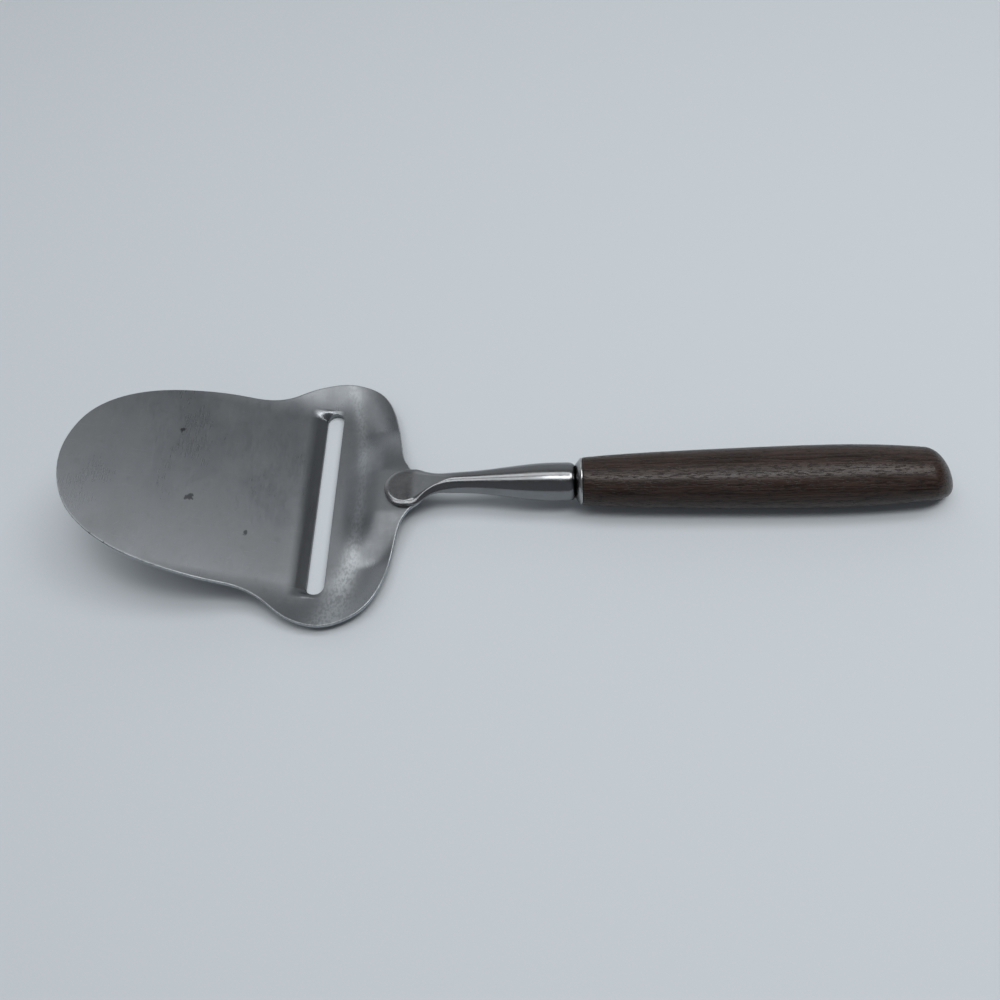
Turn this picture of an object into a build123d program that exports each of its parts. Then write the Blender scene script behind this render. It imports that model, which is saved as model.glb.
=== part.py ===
from build123d import *
import math
import os

# A cheese slicer: a pressed steel blade, a forged shank welded to it, a steel collar and a wooden
# handle glued on the shank's tang. Millimetres, +Z up. It lies as it rests on a table: the ground
# lip of the blade and the belly of the handle touch z = 0. +X runs to the butt of the handle, and
# the origin is under the middle of the whole length.

# Lengths along the slicer, from the tip of the blade to the butt of the handle
tip_to_slot = 65.8
slot_to_palm = 24.0
neck_length = 47.4
collar_length = 1.9
handle_length = 100.8

# Blade sheet and its outline, seen from above
sheet_thickness = 1.2
waist_to_slot = 19.3
waist_half_width = 31.0
waist_to_shoulder = 22.7
shoulder_half_width = 40.3
heel_past_palm = 5.6

# Slicing slot and its pressed cutting lip
slot_end_margin = 10.0
slot_width = 5.2
slot_offset = 0.35
lip_width = 5.2
lip_end_gap = 1.9
lip_end_run = 3.2
lip_grind_height = 0.7
crease_run = 1.5

# Pressed shape of the sheet, seen from the side and across
sole_height = 0.8
slot_to_sole = 3.0
front_bend_run = 14.0
spatula_angle = 25.2
tip_drop_height = 2.6
bowl_run = 22.0
bowl_side_margin = 1.7
bowl_height = 2.2
bowl_flat_share = 0.6

# Raised seat at the heel, where the shank is welded on
seat_height = 4.9
seat_margin = 0.4
seat_front_run = 13.0
seat_side_run = 14.0

# Shank: round palm on the seat, neck and bolster
palm_radius = 5.9
palm_thickness = 1.6
palm_bevel = 0.45
weld_gap = 0.1
heel_shoulder_gap = 0.3
bolster_diameter = 10.8
bolster_end_round = 1.6
tang_diameter = 5.0
tang_length = 62.0
tang_chamfer = 1.0

# Spot welds between palm and sheet
nugget_diameter = 3.0
nugget_height = 1.0
nugget_spacing = 5.0
nugget_clearance = 0.05

# Collar between bolster and wood
collar_rim_width = 1.1
collar_chamfer = 1.5
collar_back_chamfer = 0.15
collar_hole_clearance = 0.15

# Wooden handle and the glue in its bore
handle_width = 17.9
handle_thickness = 14.8
belly_drop_height = 0.45
butt_length = 8.6
butt_squareness = 1.8
butt_flat_share = 0.15
butt_drop_height = 5.0
handle_squareness = 2.1
handle_front_round = 0.6
glue_thickness = 0.6
bore_end_gap = 1.5
bond_clearance = 0.05

# How far a cutting solid runs past what it cuts
overrun_length = 5.0

# Grid of the pressed surface, finer around the lip and the slot's ends
coarse_grid_length = 4.0
fine_grid_length = 1.0
fine_run_before_slot = 12.0
fine_run_after_slot = 6.0
fine_run_at_slot_end = 4.0
surface_tolerance = 0.05
slope_length = 0.1

# Points around each section of the shank and the handle
section_points = 24

# Sizes that follow from the ones above
overall_length = tip_to_slot + slot_to_palm + neck_length + collar_length + handle_length
slot_length = 2 * (shoulder_half_width - slot_end_margin)
lip_half_length = slot_length / 2 - lip_end_gap
bowl_half_width = shoulder_half_width + bowl_side_margin
seat_half_width = palm_radius + seat_margin
collar_diameter = bolster_diameter + 2 * collar_rim_width
bore_diameter = tang_diameter + 2 * glue_thickness
bolster_radius = bolster_diameter / 2

# Places along the slicer
tip_x = -overall_length / 2
butt_x = overall_length / 2
slot_x = tip_x + tip_to_slot
waist_x = slot_x - waist_to_slot
shoulder_x = waist_x + waist_to_shoulder
palm_x = slot_x + slot_to_palm
heel_x = palm_x + heel_past_palm
shank_end_x = palm_x + neck_length
handle_x = shank_end_x + collar_length

# Heights of the shank and of the handle's axis
axis_height = handle_thickness / 2 + belly_drop_height
palm_floor = seat_height + sheet_thickness + weld_gap
palm_top = palm_floor + palm_thickness


def ramp(distance, bend_run, slope):
    """Height after a bend of length bend_run, which ends at the full slope."""
    bent = min(max(distance, 0), bend_run)
    return slope * (bent**2 / (2 * bend_run) + max(distance - bend_run, 0))


def ease(share):
    """Soft step from 0 to 1 with level ends, as a share runs from 0 to 1."""
    share = min(max(share, 0), 1)
    return share**2 * (3 - 2 * share)


def sheet_height(run, side):
    """Underside of the pressed sheet before its lip: run from the slot's centre, side from the axis."""
    ahead = slot_to_sole - run
    spatula = ramp(ahead, front_bend_run, math.tan(math.radians(spatula_angle)))
    drop = tip_drop_height * max(ahead / (tip_to_slot + slot_to_sole), 0) ** 3
    behind = max(run - slot_to_sole, 0) / bowl_run
    spread = math.hypot(behind, side / bowl_half_width)
    bowl = bowl_height * (max(spread - bowl_flat_share, 0) / (1 - bowl_flat_share)) ** 2
    open_height = sole_height + spatula - drop + bowl
    seat_run = slot_to_palm - palm_radius - seat_margin
    seat = ease(1 + (run - seat_run) / seat_front_run)
    seat *= 1 - ease((abs(side) - seat_half_width) / seat_side_run)
    return open_height + seat * (seat_height - open_height)


def lip_depth(run, side):
    """How far the lip is pressed down: from the crease to the slot's front edge, and only along it."""
    edge_run = slot_offset - slot_width / 2
    pressed = sheet_height(edge_run, 0) + lip_grind_height
    if run <= edge_run:
        share = ramp(run - edge_run + lip_width, crease_run, 1) / ramp(lip_width, crease_run, 1)
    else:
        share = 1 - ease((run - edge_run) / slot_width)
    return pressed * share * (1 - ease((abs(side) - lip_half_length) / lip_end_run))


def underside_height(run, side):
    """Underside of the finished sheet, with its lip pressed down."""
    return sheet_height(run, side) - lip_depth(run, side)


def top_height(run, side):
    """Top of the finished sheet: one thickness above the underside, square to its slope."""
    half = slope_length / 2
    along = (underside_height(run + half, side) - underside_height(run - half, side)) / slope_length
    across = (underside_height(run, side + half) - underside_height(run, side - half)) / slope_length
    return underside_height(run, side) + sheet_thickness * math.sqrt(1 + along**2 + across**2)


def steps(start, end, size):
    """Even steps from start up to, but not with, end, of about the given size."""
    count = max(1, round((end - start) / size))
    return [start + (end - start) * index / count for index in range(count)]


def space_above(height, margin):
    """Block of space above a surface, which runs past the sheet's outline by the margin."""
    runs = steps(-tip_to_slot - margin, -fine_run_before_slot, coarse_grid_length)
    runs += steps(-fine_run_before_slot, fine_run_after_slot, fine_grid_length)
    runs += steps(fine_run_after_slot, heel_x - slot_x + margin, coarse_grid_length)
    slot_end = slot_length / 2
    sides = steps(0, slot_end - fine_run_at_slot_end, coarse_grid_length)
    sides += steps(slot_end - fine_run_at_slot_end, slot_end + fine_run_at_slot_end, fine_grid_length)
    sides += steps(slot_end + fine_run_at_slot_end, shoulder_half_width + margin, coarse_grid_length)
    sides = [-side for side in reversed(sides[1:])] + sides
    rows = [[Vector(slot_x + run, side, height(run, side)) for side in sides] for run in runs]
    surface = Face.make_surface_from_array_of_points(rows, tol=surface_tolerance)
    return extrude(surface, tip_height() + margin, dir=(0, 0, 1))


def tip_height():
    """Height of the sheet's top at the spatula's tip, its highest point."""
    return top_height(-tip_to_slot, 0)


def blade_outline():
    """Plan outline: broad round tip, waist, shoulders beside the slot, and the heel's tongue."""
    # Each pair is a share of the run and a share of the half width or of its change
    tip_shares = [(0, 0), (0.03, 0.28), (0.094, 0.49), (0.213, 0.68)]
    spatula_shares = tip_shares + [(0.394, 0.835), (0.64, 0.94), (0.87, 0.985)]
    shoulder_shares = [(0, 0), (0.28, 0.26), (0.51, 0.66), (0.77, 0.93)]
    heel_shares = [(0, 1), (0.22, 0.965), (0.41, 0.89), (0.56, 0.749), (0.645, 0.571), (0.7, 0.38)]
    tongue_shares = [(0.76, 0.24), (0.8, 0.184), (0.84, 0.144), (0.89, 0.122), (0.95, 0.097)]
    tongue_end_shares = [(0.985, 0.055), (1, 0)]
    side = [(tip_x + run * (waist_x - tip_x), width * waist_half_width) for run, width in spatula_shares]
    shoulder_gain = shoulder_half_width - waist_half_width
    for run, gain in shoulder_shares:
        side.append((waist_x + run * waist_to_shoulder, waist_half_width + gain * shoulder_gain))
    for run, width in heel_shares + tongue_shares + tongue_end_shares:
        side.append((shoulder_x + run * (heel_x - shoulder_x), width * shoulder_half_width))
    near_side = Spline(*side, tangents=[(0, 1), (0, -1)])
    far_side = near_side.mirror(Plane.XZ)
    return make_face([near_side, far_side])


def weld_cylinders(extra):
    """One cylinder at each spot weld, half in the sheet and half in the palm."""
    middle = seat_height + sheet_thickness + weld_gap / 2
    places = [palm_x - nugget_spacing / 2, palm_x + nugget_spacing / 2]
    radius = nugget_diameter / 2 + extra
    height = nugget_height + 2 * extra
    return [Pos(place, 0, middle) * Cylinder(radius, height) for place in places]


def make_blade():
    """Sheet trimmed to its outline, slotted, ground flat under the lip and pitted for the welds."""
    reach = tip_height() + 2 * overrun_length
    blank = Pos(0, 0, -overrun_length) * extrude(blade_outline(), reach)
    blade = blank & space_above(underside_height, overrun_length)
    blade -= space_above(top_height, 2 * overrun_length)
    slot = extrude(SlotOverall(slot_length, slot_width, rotation=90), reach)
    blade -= Pos(slot_x + slot_offset, 0, -overrun_length) * slot
    below = Align.MAX
    width = 2 * shoulder_half_width
    ground_off = Box(heel_x - tip_x, width, overrun_length, align=(Align.MIN, Align.CENTER, below))
    blade -= Pos(tip_x, 0, 0) * ground_off
    for pit in weld_cylinders(nugget_clearance):
        blade -= pit
    return blade


def rounded_section(x, half_width, low, high, squareness):
    """Upright section at x: a superellipse, round at squareness 2 and boxier above it."""
    points = []
    for index in range(section_points):
        turn = 2 * math.pi * index / section_points
        across = math.copysign(abs(math.cos(turn)) ** (2 / squareness), math.cos(turn))
        upward = math.copysign(abs(math.sin(turn)) ** (2 / squareness), math.sin(turn))
        points.append((x, half_width * across, (low + high) / 2 + (high - low) / 2 * upward))
    return make_face(Spline(*points, periodic=True))


def make_shank():
    """Palm, neck and bolster in one forging, with the tang that the handle is glued on."""
    palm_disc = Pos(palm_x, 0, palm_floor + palm_thickness / 2) * Cylinder(palm_radius, palm_thickness)
    palm_disc = chamfer(palm_disc.edges().group_by(Axis.Z)[-1], palm_bevel)
    # Shares: run, palm radius, bolster radius, fall of the underside, rise of the top; then squareness
    station_shares = [
        (0, 1, 0, 0.05, 0, 5),
        (0.053, 1, 0.01, 0.05, 0.04, 3.2),
        (0.084, 0.8, 0.135, 0.02, 0.19, 2.7),
        (0.116, 0.6, 0.18, -0.08, 0.28, 2.5),
        (0.148, 0.4, 0.257, -0.18, 0.39, 2.35),
        (0.179, 0.24, 0.347, -0.2, 0.48, 2.2),
        (0.211, 0.12, 0.432, -0.17, 0.56, 2.1),
        (0.253, 0.04, 0.508, -0.05, 0.65, 2),
        (0.306, 0, 0.541, 0.04, 0.72, 2),
        (0.38, 0, 0.561, 0.11, 0.745, 2),
        (0.443, 0, 0.602, 0.16, 0.78, 2),
        (0.561, 0, 0.724, 0.41, 0.86, 2),
        (0.675, 0, 0.857, 0.69, 0.935, 2),
        (0.76, 0, 0.939, 0.84, 0.995, 2),
        (0.854, 0, 0.99, 0.95, 1.02, 2),
        (0.94, 0, 1, 0.99, 1.01, 2),
        (1, 0, 0.985, 0.985, 0.985, 2),
    ]
    fall_span = palm_floor - (axis_height - bolster_radius)
    rise_span = axis_height + bolster_radius - palm_top
    sections = []
    for run, palm, bolster, fall, rise, squareness in station_shares:
        place = palm_x + run * (shank_end_x - palm_x)
        half_width = palm * palm_radius + bolster * bolster_radius
        low = palm_floor - fall * fall_span
        high = palm_top + rise * rise_span
        sections.append(rounded_section(place, half_width, low, high, squareness))
    stem = loft(sections)
    stem = fillet(stem.edges().group_by(Axis.X)[-1], bolster_end_round)
    rebate_end = heel_x + heel_shoulder_gap
    rebate = Box(rebate_end - waist_x, 2 * shoulder_half_width, palm_floor, align=Align.MIN)
    stem -= Pos(waist_x, -shoulder_half_width, 0) * rebate
    shank = palm_disc + stem
    tang = extrude(Circle(tang_diameter / 2), tang_length + overrun_length)
    tang = chamfer(tang.edges().group_by(Axis.Z)[-1], tang_chamfer)
    shank += Pos(shank_end_x - overrun_length, 0, axis_height) * Rot(0, 90, 0) * tang
    for pit in weld_cylinders(nugget_clearance):
        shank -= pit
    return shank


def make_collar():
    """Turned ring that closes the wood against the bolster, chamfered on the bolster's side."""
    hole = Circle(tang_diameter / 2 + collar_hole_clearance)
    ring = extrude(Circle(collar_diameter / 2) - hole, collar_length)
    front_edge = ring.edges().group_by(Axis.Z)[0].sort_by(SortBy.RADIUS)[-1]
    ring = chamfer(front_edge, collar_chamfer)
    back_edge = ring.edges().group_by(Axis.Z)[-1].sort_by(SortBy.RADIUS)[-1]
    ring = chamfer(back_edge, collar_back_chamfer)
    return Pos(shank_end_x, 0, axis_height) * Rot(0, 90, 0) * ring


def make_handle():
    """Oval wooden grip, fullest behind its middle, with a rounded butt and a blind bore."""
    # Shares: run, half width, half thickness, drop of the middle from the shank's axis to the belly's
    station_shares = [
        (0, 0.73, 0.86, 0),
        (0.04, 0.777, 0.866, 0.07),
        (0.1, 0.828, 0.883, 0.17),
        (0.18, 0.871, 0.913, 0.32),
        (0.27, 0.908, 0.941, 0.49),
        (0.36, 0.939, 0.962, 0.66),
        (0.45, 0.965, 0.981, 0.81),
        (0.54, 0.987, 0.996, 0.94),
        (0.63, 0.998, 0.999, 1),
        (0.72, 0.992, 0.979, 1),
        (0.8, 0.963, 0.93, 1),
        (0.865, 0.918, 0.862, 1),
    ]
    butt_width_share = 0.87
    butt_thickness_share = 0.79
    stations = []
    for run, width, thickness, drop in station_shares:
        stations.append((handle_x + run * handle_length, width, thickness, drop * belly_drop_height))
    # The butt is a nose whose profile is a superellipse, with its small flat end below the axis
    turn_shares = [0, 0.22, 0.44, 0.64, 0.82, 1]
    for turn_share in turn_shares:
        turn = turn_share * math.pi / 2
        run = math.sin(turn) ** (2 / butt_squareness)
        narrowing = max(math.cos(turn), 0) ** (2 / butt_squareness)
        size = butt_flat_share + (1 - butt_flat_share) * narrowing
        place = butt_x - butt_length * (1 - run)
        droop = belly_drop_height + butt_drop_height * run**2
        stations.append((place, size * butt_width_share, size * butt_thickness_share, droop))
    sections = []
    for place, width, thickness, droop in stations:
        half_thickness = thickness * handle_thickness / 2
        low = axis_height - half_thickness - droop
        high = axis_height + half_thickness - droop
        sections.append(rounded_section(place, width * handle_width / 2, low, high, handle_squareness))
    grip = loft(sections)
    grip = fillet(grip.edges().group_by(Axis.X)[0], handle_front_round)
    bore = Cylinder(bore_diameter / 2, bore_depth(), align=(Align.CENTER, Align.CENTER, Align.MIN))
    return grip - Pos(handle_x, 0, axis_height) * Rot(0, 90, 0) * bore


def bore_depth():
    """Depth of the handle's bore: the tang beyond the collar, and a gap at its end."""
    return tang_length - collar_length + bore_end_gap


def make_adhesive():
    """Glue that fills the bore around the tang and past its end."""
    outer = Cylinder(bore_diameter / 2 - bond_clearance, bore_depth() - 2 * bond_clearance)
    tang_space = Cylinder(tang_diameter / 2 + bond_clearance, tang_length - collar_length + bond_clearance)
    glue = Pos(0, 0, bore_depth() / 2) * outer
    glue -= Pos(0, 0, (tang_length - collar_length + bond_clearance) / 2) * tang_space
    return Pos(handle_x, 0, axis_height) * Rot(0, 90, 0) * glue


os.makedirs("parts", exist_ok=True)
export_step(make_blade(), "parts/blade_plate.step")
export_step(make_shank(), "parts/shank.step")
export_step(Compound(children=weld_cylinders(0)), "parts/weld_nuggets.step")
export_step(make_collar(), "parts/collar.step")
export_step(make_handle(), "parts/handle.step")
export_step(make_adhesive(), "parts/tang_adhesive.step")
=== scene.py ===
"""A cheese slicer on a pale table: satin steel blade, polished shank, steel collar and dark wooden handle."""
import math

import bpy
import numpy as np
from mathutils import Matrix, Vector


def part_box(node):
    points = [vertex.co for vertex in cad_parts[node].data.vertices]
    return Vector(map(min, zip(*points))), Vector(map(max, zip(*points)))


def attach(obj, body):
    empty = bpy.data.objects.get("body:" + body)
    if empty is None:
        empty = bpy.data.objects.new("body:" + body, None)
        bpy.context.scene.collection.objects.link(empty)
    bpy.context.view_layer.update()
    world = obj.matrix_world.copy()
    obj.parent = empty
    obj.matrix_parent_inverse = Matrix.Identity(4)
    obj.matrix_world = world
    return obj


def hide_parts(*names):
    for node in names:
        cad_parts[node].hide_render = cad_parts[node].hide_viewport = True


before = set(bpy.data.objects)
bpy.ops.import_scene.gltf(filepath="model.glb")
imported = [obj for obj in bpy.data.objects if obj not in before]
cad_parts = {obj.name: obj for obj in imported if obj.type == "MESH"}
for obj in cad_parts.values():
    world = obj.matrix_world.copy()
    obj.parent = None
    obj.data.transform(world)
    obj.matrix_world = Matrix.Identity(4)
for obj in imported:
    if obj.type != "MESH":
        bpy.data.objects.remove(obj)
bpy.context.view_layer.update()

MM = 0.001

# The blade: one sheet of stainless steel, blanked to its outline, pressed to shape and slotted.
# Its lip in front of the slot is bent down and ground, and its faces are brushed along the slot.
# A band behind the slot is rougher and carries a painted highlight, the cut edge carries a painted highlight,
# and the lip is coloured darker.

blade_low, blade_high = (np.array(corner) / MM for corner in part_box("blade_plate"))
tip_x, heel_x = blade_low[0], blade_high[0]
inside_box_share = 0.9995
shoulder_half_width = blade_high[1] * inside_box_share
tip_to_slot = 65.8
slot_x = tip_x + tip_to_slot
sheet_thickness = 1.2
rim_round = 0.28
slot_rim_round = 0.08

waist_to_slot = 19.3
waist_half_width = 31.0
waist_to_shoulder = 22.7
waist_x = slot_x - waist_to_slot
shoulder_x = waist_x + waist_to_shoulder

slot_width = 5.2
slot_offset = 0.35
slot_end_margin = 10.0
slot_half_length = shoulder_half_width - slot_end_margin
slot_centre_x = slot_x + slot_offset

lip_width = 5.2
lip_end_margin = 1.9
lip_half_length = slot_half_length - lip_end_margin
lip_end_run = 3.2
lip_grind_height = 0.7
crease_run = 2.6

sole_height = 0.8
slot_to_sole = 3.0
front_bend_run = 14.0
spatula_slope = math.tan(math.radians(25.2))
tip_drop_height = 2.6
bowl_run = 22.0
bowl_side_margin = 1.7
bowl_half_width = shoulder_half_width + bowl_side_margin
bowl_height = 2.2
bowl_flat_share = 0.65

slot_to_palm = 24.0
palm_radius = 5.9
palm_x = slot_x + slot_to_palm
seat_height = 4.9
seat_front_run = 13.0
seat_side_run = 17.0
seat_margin = 0.4
seat_half_width = palm_radius + seat_margin

# Painted highlight behind the slot: a band painted lighter and made rougher
sheen_band_middle_run = 10.9
sheen_band_bend = 0.0038
sheen_band_half_width_middle = 1.7
sheen_band_spread = 0.0022
sheen_band_share = 0.75
sheen_band_fade_run = 30.0
# The lip is coloured darker by this share
lip_darkening_share = 0.33

# Dark specks left by wear: X, Y and Z of the middle, and reach
blade_specks = (
    (-87.5, -6.8, 15.5, 2.6),
    (-92.7, 14.2, 17.8, 1.8),
    (-72.9, -14.7, 9.0, 1.8),
    (-108.2, -22.3, 24.2, 1.8),
    (-104.6, -24.9, 22.8, 1.5),
)


def spline(knots, values, places, start_slope=None, end_slope=None):
    """Cubic spline through the knots, read at the places. Its slopes solve one linear system that makes the
    second derivative continuous. An end without a slope of its own is left straight."""
    knots, values = np.asarray(knots, float), np.asarray(values, float)
    count = len(knots)
    gaps = np.diff(knots)
    rises = np.diff(values) / gaps
    system = np.zeros((count, count))
    right = np.zeros(count)
    inner = np.arange(1, count - 1)
    system[inner, inner - 1] = 1 / gaps[:-1]
    system[inner, inner] = 2 / gaps[:-1] + 2 / gaps[1:]
    system[inner, inner + 1] = 1 / gaps[1:]
    right[inner] = 3 * (rises[:-1] / gaps[:-1] + rises[1:] / gaps[1:])
    if start_slope is None:
        system[0, 0], system[0, 1], right[0] = 2, 1, 3 * rises[0]
    else:
        system[0, 0], right[0] = 1, start_slope
    if end_slope is None:
        system[-1, -1], system[-1, -2], right[-1] = 2, 1, 3 * rises[-1]
    else:
        system[-1, -1], right[-1] = 1, end_slope
    slopes = np.linalg.solve(system, right)
    span = np.clip(np.searchsorted(knots, places) - 1, 0, count - 2)
    share = (places - knots[span]) / gaps[span]
    start, rise = values[span], gaps[span]
    return (
        start * (1 + 2 * share) * (1 - share) ** 2
        + rise * slopes[span] * share * (1 - share) ** 2
        + values[span + 1] * share**2 * (3 - 2 * share)
        + rise * slopes[span + 1] * share**2 * (share - 1)
    )


def ease(share):
    """Soft step from 0 to 1 with level ends."""
    share = np.clip(share, 0, 1)
    return share**2 * (3 - 2 * share)


def ramp(distance, bend_run, slope):
    """Height after a bend: it grows with the square of the distance over the bend, then straight."""
    bent = np.clip(distance, 0, bend_run)
    return slope * (bent**2 / (2 * bend_run) + np.maximum(distance - bend_run, 0))


def sheet_height(run, side):
    """Underside of the pressed sheet without its lip. A straight slope to the tip follows a bend, a shallow
    bowl rises with the square of the distance past its flat middle, and an eased step lifts the seat."""
    ahead = slot_to_sole - run
    spatula = ramp(ahead, front_bend_run, spatula_slope)
    drop = tip_drop_height * np.maximum(ahead / (tip_to_slot + slot_to_sole), 0) ** 3
    spread = np.hypot(np.maximum(run - slot_to_sole, 0) / bowl_run, side / bowl_half_width)
    bowl = bowl_height * (np.maximum(spread - bowl_flat_share, 0) / (1 - bowl_flat_share)) ** 2
    height = sole_height + spatula - drop + bowl
    seat_run = palm_x - slot_x - seat_half_width
    seat = ease(1 + (run - seat_run) / seat_front_run)
    seat = seat * (1 - ease((np.abs(side) - seat_half_width) / seat_side_run))
    return height + seat * (seat_height - height)


def lip_depth(run, side):
    """How far the lip is pressed down: it grows from the crease to the slot's front edge, fades across the
    slot, and eases out past the lip's two ends."""
    edge_run = slot_offset - slot_width / 2
    pressed = sheet_height(edge_run, 0) + lip_grind_height
    before = ramp(run - edge_run + lip_width, crease_run, 1) / ramp(lip_width, crease_run, 1)
    share = np.where(run <= edge_run, before, 1 - ease((run - edge_run) / slot_width))
    return pressed * share * (1 - ease((np.abs(side) - lip_half_length) / lip_end_run))


def underside(x, y):
    """Underside of the finished sheet before the lip is ground."""
    return sheet_height(x - slot_x, y) - lip_depth(x - slot_x, y)


def upper_side(x, y):
    """Top of the finished sheet: the underside raised by one thickness measured square to the slope."""
    step = 0.05
    along = (underside(x + step, y) - underside(x - step, y)) / (2 * step)
    across = (underside(x, y + step) - underside(x, y - step)) / (2 * step)
    return underside(x, y) + sheet_thickness * np.sqrt(1 + along**2 + across**2)


def even_path(points, start_slope, end_slope, shares):
    """Spline through plan points over their chord length, read at shares of its true length."""
    points = np.array(points)
    chord = np.concatenate([[0], np.cumsum(np.hypot(*np.diff(points, axis=0).T))])
    fine_steps = 6000
    fine = np.linspace(0, chord[-1], fine_steps)
    path = [spline(chord, points[:, i], fine, start_slope[i], end_slope[i]) for i in (0, 1)]
    length = np.concatenate([[0], np.cumsum(np.hypot(np.diff(path[0]), np.diff(path[1])))])
    return np.stack([np.interp(shares * length[-1], length, axis) for axis in path], axis=-1)


def blade_outline(shares):
    """The +Y half of the plan outline from the tip (share 0) round the shoulder to the heel (share 1)."""
    spatula_shares = [(0, 0), (0.03, 0.28), (0.094, 0.49), (0.213, 0.68)]
    spatula_shares += [(0.394, 0.835), (0.64, 0.94), (0.87, 0.985)]
    shoulder_shares = [(0, 0), (0.28, 0.26), (0.51, 0.66), (0.77, 0.93)]
    heel_shares = [(0, 1), (0.22, 0.965), (0.41, 0.89), (0.56, 0.749), (0.645, 0.571), (0.7, 0.38)]
    heel_shares += [(0.76, 0.24), (0.8, 0.193), (0.84, 0.157), (0.89, 0.132), (0.95, 0.097)]
    heel_shares += [(0.985, 0.055), (1, 0)]
    waist_run = waist_x - tip_x
    heel_run = heel_x - shoulder_x
    gain = shoulder_half_width - waist_half_width
    points = [(tip_x + run * waist_run, width * waist_half_width) for run, width in spatula_shares]
    points += [
        (waist_x + run * waist_to_shoulder, waist_half_width + width * gain)
        for run, width in shoulder_shares
    ]
    points += [(shoulder_x + run * heel_run, width * shoulder_half_width) for run, width in heel_shares]
    return even_path(points, (0, 1), (0, -1), shares)


def slot_outline(shares):
    """Half of the slot's edge from the middle of its front side (share 0) round its end to the middle of its
    back side (share 1): two straight runs and a half circle."""
    radius = slot_width / 2
    straight = slot_half_length - radius
    place = shares * (2 * straight + math.pi * radius)
    turn = np.clip((place - straight) / radius, 0, math.pi)
    side = np.where(place < straight, place, straight + radius * np.sin(turn))
    side = np.where(turn >= math.pi, 2 * straight + math.pi * radius - place, side)
    return np.stack([slot_centre_x - radius * np.cos(turn), side], axis=-1)


def whole_loop(half, shares):
    """A closed loop from a half outline and its mirror image: shares 0 to 1 on the +Y half, then on to 2."""
    there = half(np.minimum(shares, 2 - shares))
    there[:, 1] *= np.where(shares <= 1, 1, -1)
    return there


def outward(loop):
    """Unit normals of a closed plan loop, to the left of its direction of travel."""
    along = np.roll(loop, -1, axis=0) - np.roll(loop, 1, axis=0)
    normal = np.stack([-along[:, 1], along[:, 0]], axis=-1)
    return normal / np.linalg.norm(normal, axis=1, keepdims=True)


def surface(name, points, wraps_round=True, wraps_along=False, caps=False):
    """Mesh from a grid of points, in millimetres: points[i, j] joins its neighbours in quads. Caps close the
    first and the last row with one centre point each."""
    rows, columns = points.shape[:2]
    index = np.arange(rows * columns).reshape(rows, columns)
    if wraps_round:
        index = np.concatenate([index, index[:, :1]], axis=1)
    if wraps_along:
        index = np.concatenate([index, index[:1]], axis=0)
    quads = np.stack([index[:-1, :-1], index[:-1, 1:], index[1:, 1:], index[1:, :-1]], axis=-1).reshape(-1, 4)
    vertices = points.reshape(-1, 3)
    faces = quads.tolist()
    if caps:
        vertices = np.concatenate([vertices, points[:1].mean(axis=1), points[-1:].mean(axis=1)])
        first, last, ring = len(vertices) - 2, len(vertices) - 1, index[0, :-1].size
        low = np.stack([index[0, 1:], index[0, :-1], np.full(ring, first)], axis=-1)
        high = np.stack([index[-1, :-1], index[-1, 1:], np.full(ring, last)], axis=-1)
        faces += low.tolist() + high.tolist()
    mesh = bpy.data.meshes.new(name)
    mesh.from_pydata((vertices * MM).tolist(), [], faces)
    mesh.shade_smooth()
    mesh.update()
    piece = bpy.data.objects.new(name, mesh)
    bpy.context.scene.collection.objects.link(piece)
    return piece


def store_wear_and_painted_light(piece, shares):
    """Stores a point attribute for the steel: 1 is a painted highlight on rougher steel, 0 plain and -1
    coloured dark.
    """
    mask = piece.data.attributes.new("wear_and_painted_light", "FLOAT", "POINT")
    mask.data.foreach_set("value", np.ravel(shares))


# Places of matching points on the outline and on the slot, so that the rings between them don't twist
loop_steps = 560
outline_knots = [0, 0.17, 0.33, 0.45, 0.545, 0.63, 0.71, 0.815, 0.915, 1]
slot_knots = [0, 0.19, 0.3, 0.37, 0.444, 0.516, 0.585, 0.709, 0.851, 1]
middle_knots = (np.array(outline_knots) + np.array(slot_knots)) / 2
turn_share = np.arange(loop_steps) / loop_steps * 2
half_share = np.minimum(turn_share, 2 - turn_share)
outer_share = spline(middle_knots, outline_knots, half_share)
inner_share = spline(middle_knots, slot_knots, half_share)
outer = whole_loop(blade_outline, np.where(turn_share <= 1, outer_share, 2 - outer_share))
inner = whole_loop(slot_outline, np.where(turn_share <= 1, inner_share, 2 - inner_share))
outer_normal = outward(outer)
inner_normal = -outward(inner)

# Rings of the face lie closer together by the slot, and at both edges four of them run along the edge
face_steps = 70
even_share = 0.3
slot_crowding = 1.7
margin_steps = np.array([0, 0.12, 0.35, 0.65])[:, None, None]
margin_width = 1.0
spread = np.linspace(0, 1, face_steps)
spread = (even_share * spread + (1 - even_share) * spread**slot_crowding)[:, None, None]
inner_top = inner - inner_normal * slot_rim_round
outer_top = outer - outer_normal * rim_round
inner_core = inner_top - inner_normal * margin_width
outer_core = outer_top - outer_normal * margin_width
plan = inner_core + (outer_core - inner_core) * spread
slot_margin = inner_top - inner_normal * margin_steps
outline_margin = outer_top - outer_normal * margin_steps[::-1]
plan = np.concatenate([slot_margin, plan, outline_margin])
face_top = upper_side(plan[..., 0], plan[..., 1])
face_under = np.maximum(underside(plan[..., 0], plan[..., 1]), 0)

rim_turns = np.radians([0, 22, 45, 68, 90])[:, None]
largest_round_share = 1 / 2.2


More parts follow.
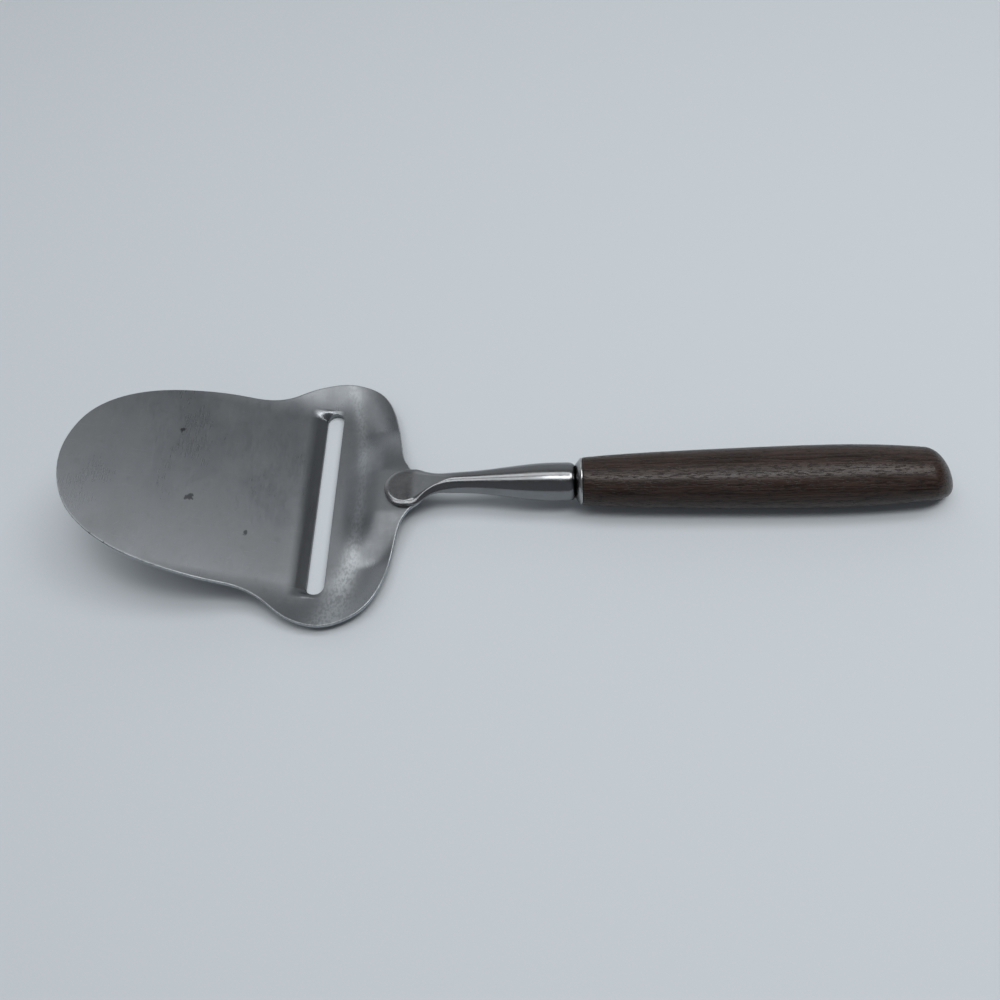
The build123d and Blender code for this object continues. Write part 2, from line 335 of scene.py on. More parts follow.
def rim(edge, normal, high, low, rounding):
    """Rounded edge of the sheet: a quarter circle from its top to its wall and another to its underside."""
    reach = edge[None] - normal[None] * (rounding * (1 - np.sin(rim_turns)))[..., None]
    radius = np.minimum(rounding, (high - low) * largest_round_share)
    upper = high - radius * (1 - np.cos(rim_turns))
    lower = low + radius * (1 - np.cos(rim_turns))
    upper_ring = np.concatenate([reach, upper[..., None]], axis=-1)
    lower_ring = np.concatenate([reach, lower[..., None]], axis=-1)
    return np.concatenate([upper_ring[1:], lower_ring[::-1][:-1]])


top_rings = np.concatenate([plan, face_top[..., None]], axis=-1)
under_rings = np.concatenate([plan, face_under[..., None]], axis=-1)[::-1]
outer_rim = rim(outer, outer_normal, face_top[-1], face_under[-1], rim_round)
inner_rim = rim(inner, inner_normal, face_top[0], face_under[0], slot_rim_round)[::-1]
blade_rings = np.concatenate([top_rings, outer_rim, under_rings, inner_rim])
blade = surface("blade", blade_rings, wraps_along=True)


def face_sheen_and_shade(x, y):
    """Painted highlight and wear on the blade's top: a bell curve across a band behind the slot, painted
    lighter and made rougher, less an even share on the lip, which is coloured darker. The band's middle nears
    the slot with the square of the side, and it widens and strengthens towards -Y."""
    run = x - slot_x
    near_side = np.maximum(-y, 0)
    half_width = sheen_band_half_width_middle + sheen_band_spread * near_side**2
    strength = sheen_band_share * (1 + ease(near_side / sheen_band_fade_run)) / 2
    band = strength * np.exp(-(((run - sheen_band_middle_run + sheen_band_bend * y**2) / half_width) ** 2))
    lip_run = run - slot_offset + slot_width / 2
    on_lip = (lip_run < slot_width / 2) * (np.abs(y) < lip_half_length)
    return band - lip_darkening_share * on_lip * ease((lip_run + lip_width) / crease_run)


plain_rings = len(under_rings) + len(inner_rim)
# Painted highlight on the band behind the slot and on the cut edge, a darker lip, and a plain underside and
# slot wall
store_wear_and_painted_light(blade, np.concatenate([
    face_sheen_and_shade(plan[..., 0], plan[..., 1]),
    np.ones((len(outer_rim), loop_steps)),
    np.zeros((plain_rings, loop_steps)),
]))


def node(tree, kind, sockets=None, **settings):
    """Adds a shader node, sets its properties, and fills its sockets with values or with other sockets."""
    made = tree.nodes.new(kind)
    for name, value in settings.items():
        setattr(made, name, value)
    for name, value in (sockets or {}).items():
        if isinstance(value, bpy.types.NodeSocket):
            tree.links.new(value, made.inputs[name])
        else:
            made.inputs[name].default_value = value
    return made


def shader_group(name, inputs, outputs):
    """Empty node group with named sockets. Each input is a name, a socket type and a value."""
    tree = bpy.data.node_groups.new(name, "ShaderNodeTree")
    for label, kind, value in inputs:
        made = tree.interface.new_socket(label, in_out="INPUT", socket_type=kind)
        made.default_value = value
    for label, kind in outputs:
        tree.interface.new_socket(label, in_out="OUTPUT", socket_type=kind)
    return tree, tree.nodes.new("NodeGroupInput").outputs, tree.nodes.new("NodeGroupOutput").inputs


def stretched_noise(tree, place, stretch, detail=2.0, roughness=0.5):
    """Noise on coordinates that are multiplied by the stretch, so that it runs out into lines."""
    scaled = node(tree, "ShaderNodeVectorMath", {0: place, 1: stretch}, operation="MULTIPLY")
    sockets = {"Vector": scaled.outputs[0], "Scale": 1.0, "Detail": detail, "Roughness": roughness}
    return node(tree, "ShaderNodeTexNoise", sockets).outputs["Fac"]


def between(tree, value, low, high, new_low=0.0, new_high=1.0, smooth=True):
    """Maps a value from one range to another and holds it there."""
    sockets = {"Value": value, "From Min": low, "From Max": high, "To Min": new_low, "To Max": new_high}
    kind = "SMOOTHSTEP" if smooth else "LINEAR"
    return node(tree, "ShaderNodeMapRange", sockets, interpolation_type=kind).outputs["Result"]


def blend(tree, share, first, second, how="MIX"):
    """Blends two colours by a share."""
    mixed = node(tree, "ShaderNodeMix", data_type="RGBA", blend_type=how)
    for socket, value in ((mixed.inputs[0], share), (mixed.inputs[6], first), (mixed.inputs[7], second)):
        if isinstance(value, bpy.types.NodeSocket):
            tree.links.new(value, socket)
        else:
            socket.default_value = value
    return mixed.outputs[2]


def arithmetic(tree, how, first, second):
    """One sum, product or other step on two numbers."""
    return node(tree, "ShaderNodeMath", {0: first, 1: second}, operation=how).outputs[0]


def steel_group():
    """Worn satin steel: brush lines drawn out along one direction, broad cloudy tarnish, small flecks, and
    hair scratches across and aslant. Where the mask input is over 0 the steel is rougher and carries a
    speckled painted highlight, and below 0 it is coloured darker, which is painted shade in the collar
    groove. It gives a colour factor, a roughness and a height."""
    tree, given, result = shader_group(
        "worn_steel",
        [
            ("Place", "NodeSocketVector", (0, 0, 0)),
            ("Brush", "NodeSocketVector", (3200, 90, 3200)),
            ("Scratch", "NodeSocketVector", (120, 4200, 120)),
            ("Tarnish", "NodeSocketFloat", 0.2),
            ("WearAndPaintedLight", "NodeSocketFloat", 0.0),
        ],
        [("Shade", "NodeSocketColor"), ("Roughness", "NodeSocketFloat"), ("Height", "NodeSocketFloat")],
    )
    dull_tone, line_tone = (0.5, 0.49, 0.46, 1), (0.66, 0.66, 0.67, 1)
    fleck_tone, hair_tone = (0.5, 0.49, 0.47, 1), (1.3, 1.3, 1.3, 1)
    darkening_tone, painted_sheen_tone = (0.06, 0.06, 0.06, 1), (2.2, 2.2, 2.16, 1)
    lines = stretched_noise(tree, given["Place"], given["Brush"], detail=3.0, roughness=0.6)
    cross = stretched_noise(tree, given["Place"], given["Scratch"], detail=1.0)
    aslant = {"Vector": given["Place"], "Angle": 0.7}
    turned = node(tree, "ShaderNodeVectorRotate", aslant, rotation_type="Z_AXIS")
    slanted = stretched_noise(tree, turned.outputs[0], (3600, 130, 1500), detail=1.0)
    slant_hair = between(tree, slanted, 0.68, 0.76)
    hair = arithmetic(tree, "MAXIMUM", between(tree, cross, 0.66, 0.74), slant_hair)
    cloud = stretched_noise(tree, given["Place"], (70, 45, 70), detail=5.0, roughness=0.62)
    fleck = stretched_noise(tree, given["Place"], (420, 300, 420), detail=3.0)
    dull = arithmetic(tree, "MULTIPLY", between(tree, cloud, 0.38, 0.66), given["Tarnish"])
    shade = blend(tree, dull, (1, 1, 1, 1), dull_tone)
    shade = blend(tree, between(tree, lines, 0.3, 0.7, 0.0, 0.08), shade, line_tone)
    shade = blend(tree, between(tree, fleck, 0.6, 0.75, 0.0, 0.18), shade, fleck_tone)
    shade = blend(tree, arithmetic(tree, "MULTIPLY", hair, 0.2), shade, hair_tone)
    # Painted highlight: above 0 the colour is multiplied up to 2.2 times in specks, and the steel is made
    # rougher
    grain = stretched_noise(tree, given["Place"], (1500, 900, 1500), detail=2.0)
    speckle = between(tree, grain, 0.35, 0.6, 0.45, 1.0)
    sheen_and_wear = arithmetic(tree, "MULTIPLY", arithmetic(tree, "MAXIMUM", given["WearAndPaintedLight"], 0.0), speckle)
    # Below 0 the colour is blended towards near black: painted shade in the collar groove, and a darker lip
    darkening = between(tree, given["WearAndPaintedLight"], 0.0, -1.0, smooth=False)
    shade = blend(tree, darkening, shade, darkening_tone)
    tree.links.new(blend(tree, sheen_and_wear, shade, painted_sheen_tone), result["Shade"])
    rough = between(tree, cloud, 0.35, 0.7, 0.0, 0.12)
    rough = arithmetic(tree, "ADD", rough, between(tree, lines, 0.3, 0.7, 0.0, 0.05))
    rough = arithmetic(tree, "ADD", rough, arithmetic(tree, "MULTIPLY", sheen_and_wear, 0.08))
    tree.links.new(rough, result["Roughness"])
    grooves = arithmetic(tree, "SUBTRACT", lines, arithmetic(tree, "MULTIPLY", hair, 0.1))
    tree.links.new(grooves, result["Height"])
    return tree


def steel(name, tint, least_roughness, brush, scratch, tarnish, groove_depth, masked=True):
    """Steel finish: the worn steel group over one tint, with its own roughness and groove depth. On a masked
    piece a point attribute says where a painted highlight lightens the steel and where it is coloured darker."""
    material = bpy.data.materials.new(name)
    material.use_nodes = True
    tree = material.node_tree
    place = node(tree, "ShaderNodeTexCoord").outputs["Object"]
    group = node(tree, "ShaderNodeGroup", node_tree=bpy.data.node_groups.get("worn_steel") or steel_group())
    tree.links.new(place, group.inputs["Place"])
    group.inputs["Brush"].default_value = brush
    group.inputs["Scratch"].default_value = scratch
    group.inputs["Tarnish"].default_value = tarnish
    if masked:
        mask = node(tree, "ShaderNodeAttribute", attribute_name="wear_and_painted_light")
        tree.links.new(mask.outputs["Fac"], group.inputs["WearAndPaintedLight"])
    colour = blend(tree, 1.0, (*tint, 1), group.outputs["Shade"], "MULTIPLY")
    rough = arithmetic(tree, "ADD", group.outputs["Roughness"], least_roughness)
    sockets = {"Height": group.outputs["Height"], "Strength": 0.6, "Distance": groove_depth}
    bump = node(tree, "ShaderNodeBump", sockets)
    shader = tree.nodes["Principled BSDF"]
    shader.inputs["Metallic"].default_value = 1.0
    tree.links.new(colour, shader.inputs["Base Color"])
    tree.links.new(rough, shader.inputs["Roughness"])
    tree.links.new(bump.outputs["Normal"], shader.inputs["Normal"])
    return material


def add_specks(material, specks):
    """Lays dark specks over a material's colour, each strongest at its middle and broken up by noise."""
    tree = material.node_tree
    target = tree.nodes["Principled BSDF"].inputs["Base Color"]
    place = node(tree, "ShaderNodeTexCoord").outputs["Object"]
    ragged = stretched_noise(tree, place, (900, 700, 900), detail=3.0)
    speck_tone = (0.04, 0.04, 0.045, 1)
    for *middle, reach in specks:
        middle = tuple(coordinate * MM for coordinate in middle)
        away = node(tree, "ShaderNodeVectorMath", {0: place, 1: middle}, operation="DISTANCE")
        near = between(tree, away.outputs["Value"], 0.0, reach * MM, 0.5, 0.0)
        speck = between(tree, arithmetic(tree, "ADD", near, ragged), 0.78, 0.9, 0.0, 0.8)
        plain = target.links[0].from_socket
        tree.links.new(blend(tree, speck, plain, speck_tone), target)


blade_steel = steel(
    "brushed_blade_steel",
    tint=(0.193, 0.206, 0.219),
    least_roughness=0.26,
    brush=(4200, 260, 900),
    scratch=(160, 3800, 160),
    tarnish=0.36,
    groove_depth=0.001 * MM,
)
add_specks(blade_steel, blade_specks)
blade.data.materials.append(blade_steel)
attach(blade, "root")
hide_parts("blade_plate")

# The shank: one forging, hammered flat into a round palm at the blade and drawn to a round bolster.
# The palm is welded on the raised heel, and a tang behind the bolster runs on into the wood.
# Its steel is polished, with painted shade darkening the groove at the collar.

collar_low, collar_high = (np.array(corner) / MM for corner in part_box("collar"))
shank_end_x = collar_low[0]
axis_height = (collar_low[2] + collar_high[2]) / 2
bolster_end_run = 2.0
bolster_end_drop = 1.15
weld_gap = 0.1
palm_thickness = 1.6
palm_floor = seat_height + sheet_thickness + weld_gap
palm_top = palm_floor + palm_thickness
palm_edge = 1.2
palm_upper_share = 0.3
least_half_width = 0.02
thinnest_edge = 0.002
widest_flat_share = 0.97
groove_shade_run = 1.5
tang_radius = 2.5
tang_chamfer = 1.0
tang_root_flare = 0.3
tang_end_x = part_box("shank")[1][0] / MM

# Runs from the palm's centre with half width, top, underside, flat half widths above and below, corner power
neck_stations = np.array([
    (0, palm_radius, palm_top, palm_floor, palm_radius - palm_edge, 5.75, 1.3),
    (1.3, 5.86, 7.81, palm_floor, 4.4, 5.55, 1.35),
    (2.5, 5.8, 7.98, palm_floor, 3.95, 5.2, 1.4),
    (4.0, 5.35, 8.6, 6.25, 3.35, 3.4, 1.4),
    (5.5, 4.5, 9.32, 6.6, 2.68, 1.6, 1.4),
    (7.0, 3.77, 9.94, 7.05, 2.04, 0.5, 1.4),
    (8.5, 3.29, 10.43, 7.1, 1.46, 0, 1.42),
    (10.0, 3.04, 10.86, 6.88, 1.03, 0, 1.5),
    (12.0, 2.96, 11.36, 6.4, 0.35, 0, 1.7),
    (14.5, 2.93, 11.7, 6.02, 0, 0, 1.9),
    (18.0, 3.03, 11.88, 5.77, 0, 0, 2),
    (21.0, 3.25, 12.06, 5.5, 0, 0, 2),
    (26.6, 3.91, 12.48, 4.67, 0, 0, 2),
    (32.0, 4.63, 12.9, 3.63, 0, 0, 2),
    (36.0, 5.07, 13.18, 3.05, 0, 0, 2),
    (40.5, 5.34, 13.3, 2.65, 0, 0, 2),
    (45.0, 5.36, 13.21, 2.53, 0, 0, 2),
    (47.4, 5.3, 13.15, 2.55, 0, 0, 2),
])
palm_steps, neck_steps, end_steps, across_steps = 40, 220, 12, 61
palm_turn = np.linspace(0, math.pi / 2, palm_steps)[:-1]
end_turn = np.linspace(0, math.pi / 2, end_steps)[1:]
neck_end_run = shank_end_x - palm_x
runs = np.concatenate([
    -palm_radius * np.cos(palm_turn),
    np.linspace(0, neck_end_run - bolster_end_run, neck_steps),
    neck_end_run - bolster_end_run * (1 - np.sin(end_turn)),
])
neck_columns = [spline(neck_stations[:, 0], column, np.maximum(runs, 0), 0) for column in neck_stations.T[1:]]
half_width, high, low, flat_top, flat_foot, power = neck_columns
end_drop = np.zeros(runs.size)
end_drop[-end_turn.size:] = bolster_end_drop * (1 - np.cos(end_turn))
half_width = half_width - end_drop
high = high - end_drop
low = low + end_drop
is_palm = runs < 0
half_width[is_palm] = np.maximum(palm_radius * np.sin(palm_turn), least_half_width)


def neck_rings():
    """Sections of the palm, the neck and the bolster. Each has a flat middle and two corners, whose drop is 1
    less the root of 1 less the share of the corner's width to a power. The palm's corners follow its round
    edge, and less of its height lies above its widest line."""
    across = np.sin(np.linspace(-1, 1, across_steps) * math.pi / 2)
    side = half_width[:, None] * across
    from_axis = np.where(is_palm[:, None], np.hypot(runs[:, None], side), np.abs(side))
    edge = np.where(is_palm, palm_radius, half_width)[:, None]
    upper_share = 0.5 - (0.5 - palm_upper_share) * (1 - ease(runs / palm_radius))
    above = (upper_share * (high - low))[:, None]
    below = (high - low)[:, None] - above
    widest_flat = half_width * widest_flat_share + is_palm * palm_radius
    flat = np.clip(flat_top, 0, widest_flat)[:, None]
    flat = np.where(is_palm[:, None], palm_radius - palm_edge, flat)
    part = np.clip((from_axis - flat) / (edge - flat), 0, 1)
    top = high[:, None] - above * (1 - (1 - part ** power[:, None]) ** (1 / power[:, None]))
    flat = np.clip(flat_foot, 0, widest_flat)[:, None]
    part = np.clip((from_axis - flat) / (edge - flat), 0, 1)
    foot = low[:, None] + below * (1 - np.sqrt(1 - part**2))
    place = np.broadcast_to((palm_x + runs)[:, None], side.shape)
    upper = np.stack([place, side, top], axis=-1)
    lower = np.stack([place, side, np.minimum(foot, top - thinnest_edge)], axis=-1)
    return np.concatenate([upper[:, ::-1], lower[:, 1:-1]], axis=1)


def turned_rings(profile, steps, centre_height):
    """Rings of a turned piece about the slicer's axis: each profile point is a place and a radius."""
    turns = np.linspace(0, 2 * math.pi, steps, endpoint=False)
    places, radii = np.array(profile).T
    across = radii[:, None] * np.cos(turns)
    upward = centre_height + radii[:, None] * np.sin(turns)
    return np.stack([np.broadcast_to(places[:, None], across.shape), across, upward], axis=-1)


rings = neck_rings()
last = rings[-1]
turns = np.arctan2(last[:, 2] - axis_height, last[:, 1])
tang_length = tang_end_x - shank_end_x
tang_profile = [
    (0, tang_radius + tang_root_flare),
    (tang_root_flare, tang_radius),
    (tang_length - tang_chamfer, tang_radius),
    (tang_length, tang_radius - tang_chamfer),
]
places, radii = np.array(tang_profile).T
tang_rings = np.stack([
    np.broadcast_to((shank_end_x + places)[:, None], (places.size, turns.size)),
    radii[:, None] * np.cos(turns),
    axis_height + radii[:, None] * np.sin(turns),
], axis=-1)
shank = surface("shank_forging", np.concatenate([rings, tang_rings]), caps=True)
# Painted shade: the rings before the collar and the hidden tang are coloured dark to stand in for the
# groove's shade
groove_painted_shade = ease((runs - neck_end_run + groove_shade_run) / groove_shade_run)
groove_painted_shade = np.concatenate([groove_painted_shade, np.ones(len(tang_rings))])
cap_painted_shade = (0, 1)
store_wear_and_painted_light(shank, -np.append(np.repeat(groove_painted_shade, rings.shape[1]), cap_painted_shade))
shank_steel = steel(
    "polished_shank_steel",
    tint=(0.232, 0.24, 0.25),
    least_roughness=0.1,
    brush=(2200, 1300, 1300),
    scratch=(500, 1500, 1500),
    tarnish=0.25,
    groove_depth=0.02 * MM,
)
shank.data.materials.append(shank_steel)
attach(shank, "root")
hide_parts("shank")

# The collar: a turned steel ring between bolster and wood, chamfered towards the bolster.
# It is slipped over the tang and held by the handle, and its front face is painted dark as painted shade in
# the groove.

collar_radius = (collar_high[2] - collar_low[2]) / 2
collar_steps = 128
collar_chamfer = 1.5
collar_bore_radius = tang_radius + 0.15
front_radius = collar_radius - collar_chamfer
chamfer_end_x = shank_end_x + collar_chamfer
back_x = collar_high[0]
collar_profile = [
    (shank_end_x, collar_bore_radius),
    (shank_end_x, front_radius - 0.5),
    (shank_end_x + 0.05, front_radius - 0.35),
    (chamfer_end_x - 0.2, collar_radius - 0.2),
    (chamfer_end_x - 0.02, collar_radius - 0.05),
    (chamfer_end_x + 0.12, collar_radius),
    (back_x - 0.15, collar_radius),
    (back_x - 0.06, collar_radius - 0.03),
    (back_x, collar_radius - 0.1),
    (back_x, collar_bore_radius),
]
collar_rings = turned_rings(collar_profile, collar_steps, axis_height)[:, ::-1]
collar = surface("collar_ring", collar_rings, wraps_along=True)
# Painted shade: the front face at the groove is coloured dark
front_painted_shade = np.zeros(len(collar_profile))
front_painted_shade[:3] = (1, 1, 0.8)
store_wear_and_painted_light(collar, -np.repeat(front_painted_shade, collar_steps))
collar_steel = steel(
    "turned_collar_steel",
    tint=(0.42, 0.42, 0.42),
    least_roughness=0.16,
    brush=(3000, 100, 100),
    scratch=(300, 900, 900),
    tarnish=0.2,
    groove_depth=0.006 * MM,
)
collar.data.materials.append(collar_steel)
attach(collar, "root")
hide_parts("collar")

# The handle: dark open-pored hardwood, shaped to an oval grip that is fullest behind its middle.
# It is bored for the tang and glued on, with its butt rounded off by hand.

handle_low, handle_high = (np.array(corner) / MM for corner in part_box("handle"))
handle_x, butt_x = handle_low[0], handle_high[0]
handle_length = butt_x - handle_x
handle_half_width = (handle_high[1] - handle_low[1]) / 2
handle_half_thickness = 7.4
belly_drop_height = axis_height - handle_half_thickness
handle_squareness = 2.1
butt_length = 8.6
butt_squareness = 1.8
butt_flat_share = 0.15
butt_drop_height = 5.0
front_round = 0.5
bore_radius = 3.1
bore_depth = 61.6
bore_chamfer = 0.4
grip_steps, nose_steps, around_steps = 150, 26, 144

# Shares of the grip's length, half width, half thickness and belly drop
grip_shares = np.array([
    (0, 0.73, 0.86, 0),
    (0.04, 0.777, 0.866, 0.07),
    (0.1, 0.828, 0.883, 0.17),
    (0.18, 0.871, 0.913, 0.32),
    (0.27, 0.908, 0.941, 0.49),
    (0.36, 0.939, 0.962, 0.66),
    (0.45, 0.965, 0.981, 0.81),
    (0.54, 0.987, 0.996, 0.94),
    (0.63, 0.998, 0.999, 1),
    (0.72, 0.992, 0.979, 1),
    (0.8, 0.963, 0.93, 1),
    (0.865, 0.918, 0.862, 1),
    (0.9147, 0.87, 0.79, 1),
])
grip_end = 1 - butt_length / handle_length
front_turns = np.radians([0, 20, 40, 60, 80])
front_run = front_round * (1 - np.cos(front_turns)) / handle_length
grip_run = np.concatenate([front_run, np.linspace(front_round / handle_length, grip_end, grip_steps)[:-1]])
nose_turns = np.linspace(0, math.pi / 2, nose_steps)
nose_run = 1 - (1 - np.sin(nose_turns) ** (2 / butt_squareness)) * butt_length / handle_length
nose_curve = np.clip(np.cos(nose_turns), 0, 1) ** (2 / butt_squareness)
nose_size = butt_flat_share + (1 - butt_flat_share) * nose_curve
grip_columns = [spline(grip_shares[:, 0], column, grip_run) for column in grip_shares.T[1:]]
width_share, thick_share, drop_share = grip_columns
inset = np.where(grip_run < front_round / handle_length, 1 - grip_run * handle_length / front_round, 0)
inset = front_round * (1 - np.sqrt(1 - inset**2))
nose_half_width = grip_shares[-1, 1] * handle_half_width
nose_half_thickness = grip_shares[-1, 2] * handle_half_thickness
half_widths = np.append(width_share * handle_half_width - inset, nose_size * nose_half_width)
half_heights = np.append(thick_share * handle_half_thickness - inset, nose_size * nose_half_thickness)
nose_drop = butt_drop_height * ((nose_run - grip_end) / (1 - grip_end)) ** 2
drops = np.concatenate([drop_share * belly_drop_height, belly_drop_height + nose_drop])
handle_places = handle_x + np.concatenate([grip_run, nose_run]) * handle_length


def oval_rings(places, half_widths, half_heights, centre_heights, squareness, steps):
    """Upright superellipses: cosine and sine of the turn, each raised to the power 2 over the squareness."""
    turns = np.linspace(0, 2 * math.pi, steps, endpoint=False)
    across = np.sign(np.cos(turns)) * np.abs(np.cos(turns)) ** (2 / squareness)
    upward = np.sign(np.sin(turns)) * np.abs(np.sin(turns)) ** (2 / squareness)
    side = half_widths[:, None] * across
    height = centre_heights[:, None] + half_heights[:, None] * upward
    return np.stack([np.broadcast_to(places[:, None], side.shape), side, height], axis=-1)


middles = axis_height - drops
grip_rings = oval_rings(handle_places, half_widths, half_heights, middles, handle_squareness, around_steps)
bore_end_x = handle_x + bore_depth
bore_profile = [
    (bore_end_x, bore_radius - bore_chamfer),
    (bore_end_x - bore_chamfer, bore_radius),
    (handle_x, bore_radius),
]
bore_rings = turned_rings(bore_profile, around_steps, axis_height)
handle = surface("wooden_grip", np.concatenate([bore_rings, grip_rings])[:, ::-1], caps=True)


def dark_wood():
    """Dark open-pored hardwood: broad bands and fine fibres drawn out along the grip, short dark pores
    between them, and a worn oil finish that is duller in the pores."""
    material = bpy.data.materials.new("dark_open_pored_wood")
    material.use_nodes = True
    tree = material.node_tree
    place = node(tree, "ShaderNodeTexCoord").outputs["Object"]
    waver = stretched_noise(tree, place, (22, 60, 60), detail=2.0)
    sway = {0: waver, 1: (0.0, 1.6 * MM, 1.6 * MM)}
    moved = node(tree, "ShaderNodeVectorMath", sway, operation="MULTIPLY").outputs[0]
    bent = node(tree, "ShaderNodeVectorMath", {0: place, 1: moved}, operation="ADD").outputs[0]
    bands = stretched_noise(tree, bent, (9, 420, 420), detail=3.0, roughness=0.55)
    fibre = stretched_noise(tree, bent, (60, 2400, 2400), detail=3.0, roughness=0.6)
    pore_noise = stretched_noise(tree, bent, (420, 3400, 3400), detail=1.0)
    pores = between(tree, pore_noise, 0.54, 0.64)
    late_wood, early_wood = (0.012, 0.0072, 0.0055, 1), (0.029, 0.0172, 0.0132, 1)
    light_fibre, open_pore = (0.066, 0.041, 0.032, 1), (0.010, 0.007, 0.006, 1)
    colour = blend(tree, between(tree, bands, 0.35, 0.65), late_wood, early_wood)
    colour = blend(tree, between(tree, fibre, 0.35, 0.7, 0.0, 0.6), colour, light_fibre)
    colour = blend(tree, arithmetic(tree, "MULTIPLY", pores, 0.85), colour, open_pore)
    oiled = between(tree, fibre, 0.3, 0.7, 0.25, 0.34)
    rough = arithmetic(tree, "ADD", oiled, arithmetic(tree, "MULTIPLY", pores, 0.2))
    height = arithmetic(tree, "SUBTRACT", arithmetic(tree, "MULTIPLY", fibre, 0.4), pores)
    bump = node(tree, "ShaderNodeBump", {"Height": height, "Strength": 0.7, "Distance": 0.06 * MM})
    shader = tree.nodes["Principled BSDF"]
    shader.inputs["IOR"].default_value = 1.48
    shader.inputs["Specular IOR Level"].default_value = 0.28
    tree.links.new(colour, shader.inputs["Base Color"])
    tree.links.new(rough, shader.inputs["Roughness"])
    tree.links.new(bump.outputs["Normal"], shader.inputs["Normal"])
    return material


handle.data.materials.append(dark_wood())
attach(handle, "root")
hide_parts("handle")

# The weld nuggets under the palm and the glue in the handle's bore: hidden joints of the real tool.
# The nuggets are fused from the two steels, and the glue is a dull cured resin.


def dull_resin():
    """Cured glue: one dull tan with faint cloudy patches and a slightly uneven face."""
    material = bpy.data.materials.new("dull_cured_resin")
    material.use_nodes = True
    tree = material.node_tree
    place = node(tree, "ShaderNodeTexCoord").outputs["Object"]
    dark_tan, light_tan = (0.42, 0.30, 0.16, 1), (0.56, 0.43, 0.26, 1)
    cloud = stretched_noise(tree, place, (500, 500, 500), detail=3.0)
    colour = blend(tree, cloud, dark_tan, light_tan)
    bump = node(tree, "ShaderNodeBump", {"Height": cloud, "Strength": 0.3, "Distance": 0.03 * MM})
    shader = tree.nodes["Principled BSDF"]
    shader.inputs["Roughness"].default_value = 0.6
    tree.links.new(colour, shader.inputs["Base Color"])
    tree.links.new(bump.outputs["Normal"], shader.inputs["Normal"])
    return material


weld_steel = steel(
    "raw_weld_steel",
    tint=(0.42, 0.41, 0.40),
    least_roughness=0.4,
    brush=(1500, 1500, 1500),
    scratch=(900, 900, 900),
    tarnish=0.6,
    groove_depth=0.02 * MM,
    masked=False,
)
for kept, finish in (("weld_nuggets", weld_steel), ("tang_adhesive", dull_resin())):
    for kept_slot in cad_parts[kept].material_slots:
        kept_slot.material = finish

# The table top it lies on, the lamps and the camera. They aren't part of the slicer.

table_mesh = bpy.data.meshes.new("table_top")
reach = 3.0
table_corners = [(-reach, -reach, 0), (reach, -reach, 0), (reach, reach, 0), (-reach, reach, 0)]
table_mesh.from_pydata(table_corners, [], [(0, 1, 2, 3)])
table_top = bpy.data.objects.new("table_top", table_mesh)
bpy.context.scene.collection.objects.link(table_top)
table_paint = bpy.data.materials.new("pale_table_paint")
table_paint.use_nodes = True
table_shader = table_paint.node_tree.nodes["Principled BSDF"]
table_shader.inputs["Base Color"].default_value = (0.575, 0.62, 0.656, 1)
table_shader.inputs["Roughness"].default_value = 0.7
table_mesh.materials.append(table_paint)


def softbox(name, tilt, turn, across, along, brightness):
    """Rectangular area lamp one metre from the origin. It stands at a tilt towards +Y and a turn towards +X,
    spans two angles in degrees, and faces the origin with its length along X. Its power is brightness times
    pi times its area, so the brightness is that of its face."""
    tilt, turn = math.radians(tilt), math.radians(turn)
    facing = Vector((math.sin(turn), math.cos(turn) * math.sin(tilt), math.cos(turn) * math.cos(tilt)))
    length_axis = (Vector((1, 0, 0)) - facing * facing.x).normalized()
    lamp = bpy.data.lights.new(name, "AREA")
    lamp.shape = "RECTANGLE"
    lamp.size = 2 * math.tan(math.radians(along) / 2)
    lamp.size_y = 2 * math.tan(math.radians(across) / 2)
    lamp.energy = brightness * math.pi * lamp.size * lamp.size_y
    holder = bpy.data.objects.new(name, lamp)
    axes = Matrix((length_axis, facing.cross(length_axis), facing)).transposed().to_4x4()
    holder.matrix_world = Matrix.Translation(facing) @ axes
    bpy.context.scene.collection.objects.link(holder)


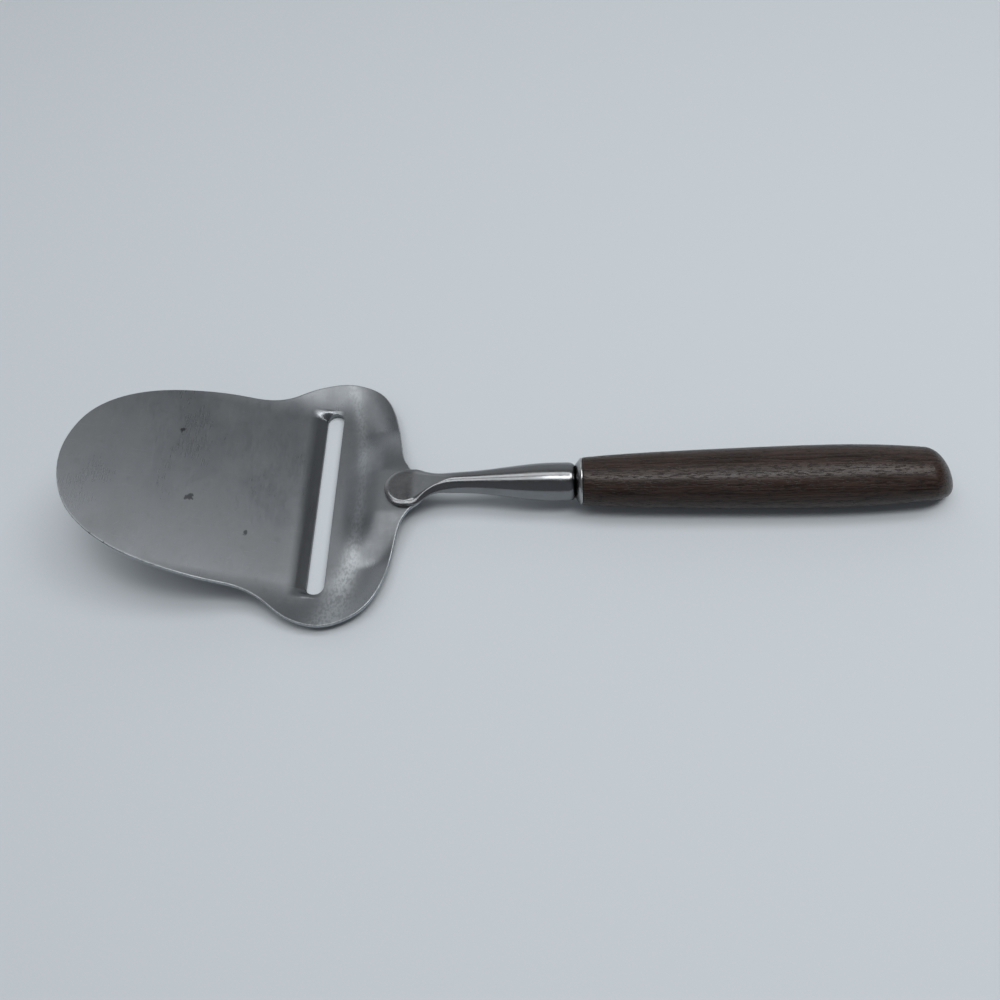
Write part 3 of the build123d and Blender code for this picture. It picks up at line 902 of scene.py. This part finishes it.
softbox("near_panel", tilt=-7.5, turn=-7.5, across=18, along=59, brightness=1.9)
softbox("key_panel", tilt=-4.5, turn=10, across=12, along=24, brightness=6.3)
softbox("handle_side_panel", tilt=7.5, turn=31, across=24, along=20, brightness=5.5)
softbox("far_panel", tilt=16.5, turn=-5, across=18, along=54, brightness=2.2)

# The room's light comes from behind the slicer, with a little from the left and the front
dark_light, bright_light = (0.035, 0.036, 0.038, 1), (0.86, 0.88, 0.9, 1)
front_light, left_light = (0.17, 0.175, 0.185, 1), (0.22, 0.225, 0.235, 1)
world = bpy.data.worlds.new("soft_room")
world.use_nodes = True
sky = world.node_tree
ray = node(sky, "ShaderNodeSeparateXYZ", {0: node(sky, "ShaderNodeTexCoord").outputs["Generated"]})
depth = between(sky, ray.outputs["Y"], 0.25, 0.95)
left = between(sky, ray.outputs["X"], -0.75, -0.15, 1.75, 0.5)
left = arithmetic(sky, "MULTIPLY", left, between(sky, ray.outputs["X"], 0.3, 0.65, 1.0, 1.6))
front = between(sky, ray.outputs["Y"], -0.1, -0.8)
low_light = blend(sky, front, dark_light, front_light)
low_light = blend(sky, between(sky, ray.outputs["X"], -0.15, -0.55), low_light, left_light)
room = blend(sky, arithmetic(sky, "MULTIPLY", depth, left), low_light, bright_light)

# The camera itself sees an even, pale wall
pale_wall = (0.58, 0.62, 0.65, 1)
seen = node(sky, "ShaderNodeLightPath").outputs["Is Camera Ray"]
room = blend(sky, seen, room, pale_wall)
sky.links.new(room, sky.nodes["Background"].inputs["Color"])
bpy.context.scene.world = world

# The camera looks down at the slicer from its near side, from about 58 degrees above the table
camera = bpy.data.cameras.new("camera")
camera.sensor_width = 36.0
camera.lens = 34.01
camera.clip_start = 0.01
viewer = bpy.data.objects.new("camera", camera)
right = Vector((0.99794, 0.01066, -0.06323))
up = Vector((0.02449, 0.84800, 0.52943))
forward = Vector((-0.05926, 0.52989, -0.84599))
turned = Matrix((right, up, -forward)).transposed().to_4x4()
camera_place = (0.01187, -0.14277, 0.22713)
viewer.matrix_world = Matrix.Translation(camera_place) @ turned
bpy.context.scene.collection.objects.link(viewer)
bpy.context.scene.camera = viewer
bpy.context.scene.view_settings.view_transform = "Standard"
